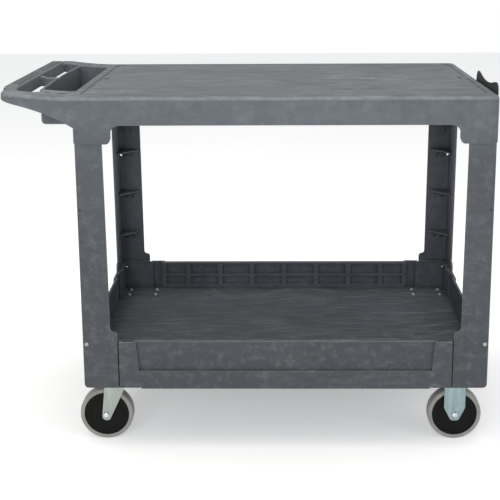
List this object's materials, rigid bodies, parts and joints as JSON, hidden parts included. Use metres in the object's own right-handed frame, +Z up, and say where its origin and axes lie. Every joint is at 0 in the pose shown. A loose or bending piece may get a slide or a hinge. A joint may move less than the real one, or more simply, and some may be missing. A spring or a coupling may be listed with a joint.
{
  "type": "rolling utility cart",
  "caption": "Two-level moulded plastic utility cart: flat deck with push handle and storage well, deep lower tub, corner legs, swivel casters at the handle end and rigid casters at the other.",
  "frame": {"origin": "on the floor under the middle of the whole cart", "axes": "+X from the push handle towards the other end, +Y across the cart, +Z up"},
  "size_m": [1.1157, 0.664, 0.8565],
  "materials": {
    "graphite_plastic": "structural foam plastic with faint flow swirls",
    "black_plastic": "satin moulded",
    "black_metal": "black powder coat",
    "zinc_steel": "bright zinc plate",
    "bolt_steel": "zinc plate",
    "grey_tyre": "non-marking grey rubber"
  },
  "bodies": {
    "frame": {"top_shelf": "graphite_plastic", "bottom_tub": "graphite_plastic", "leg_front_left": "graphite_plastic", "leg_back_left": "graphite_plastic", "leg_front_right": "graphite_plastic", "leg_back_right": "graphite_plastic", "end_hook": "black_metal", "tenon_screws": "black_metal", "leg_screws": "zinc_steel", "hook_screws": "black_metal", "caster_bolts": "bolt_steel", "caster_washers": "bolt_steel", "caster_nuts": "bolt_steel", "front_left_plate": "zinc_steel", "front_left_kingpin": "bolt_steel", "back_left_plate": "zinc_steel", "back_left_kingpin": "bolt_steel", "front_right_bracket": "zinc_steel", "front_right_axle_bolt": "bolt_steel", "front_right_axle_nut": "bolt_steel", "front_right_axle_sleeve": "bolt_steel", "back_right_bracket": "zinc_steel", "back_right_axle_bolt": "bolt_steel", "back_right_axle_nut": "bolt_steel", "back_right_axle_sleeve": "bolt_steel"},
    "front_left_swivel": {"front_left_fork": "zinc_steel", "front_left_balls": "bolt_steel", "front_left_axle_bolt": "bolt_steel", "front_left_axle_nut": "bolt_steel", "front_left_axle_sleeve": "bolt_steel"},
    "back_left_swivel": {"back_left_fork": "zinc_steel", "back_left_balls": "bolt_steel", "back_left_axle_bolt": "bolt_steel", "back_left_axle_nut": "bolt_steel", "back_left_axle_sleeve": "bolt_steel"},
    "front_left_wheel": {"front_left_tyre": "grey_tyre", "front_left_hub": "black_plastic"},
    "back_left_wheel": {"back_left_tyre": "grey_tyre", "back_left_hub": "black_plastic"},
    "front_right_wheel": {"front_right_tyre": "grey_tyre", "front_right_hub": "black_plastic"},
    "back_right_wheel": {"back_right_tyre": "grey_tyre", "back_right_hub": "black_plastic"}
  },
  "joints": [
    {"name": "front_left_swivel_turn", "type": "hinge", "parent": "frame", "child": "front_left_swivel", "pos_m": [-0.3237, -0.2648, 0.136], "axis": [0, 0, 1], "continuous": true},
    {"name": "back_left_swivel_turn", "type": "hinge", "parent": "frame", "child": "back_left_swivel", "pos_m": [-0.3237, 0.2648, 0.136], "axis": [0, 0, 1], "continuous": true},
    {"name": "front_left_wheel_spin", "type": "hinge", "parent": "front_left_swivel", "child": "front_left_wheel", "pos_m": [-0.3477, -0.2648, 0.0635], "axis": [0, 1, 0], "continuous": true},
    {"name": "front_right_wheel_spin", "type": "hinge", "parent": "frame", "child": "front_right_wheel", "pos_m": [0.4837, -0.2648, 0.0635], "axis": [0, 1, 0], "continuous": true},
    {"name": "back_left_wheel_spin", "type": "hinge", "parent": "back_left_swivel", "child": "back_left_wheel", "pos_m": [-0.3477, 0.2648, 0.0635], "axis": [0, 1, 0], "continuous": true},
    {"name": "back_right_wheel_spin", "type": "hinge", "parent": "frame", "child": "back_right_wheel", "pos_m": [0.4837, 0.2648, 0.0635], "axis": [0, 1, 0], "continuous": true}
  ]
}
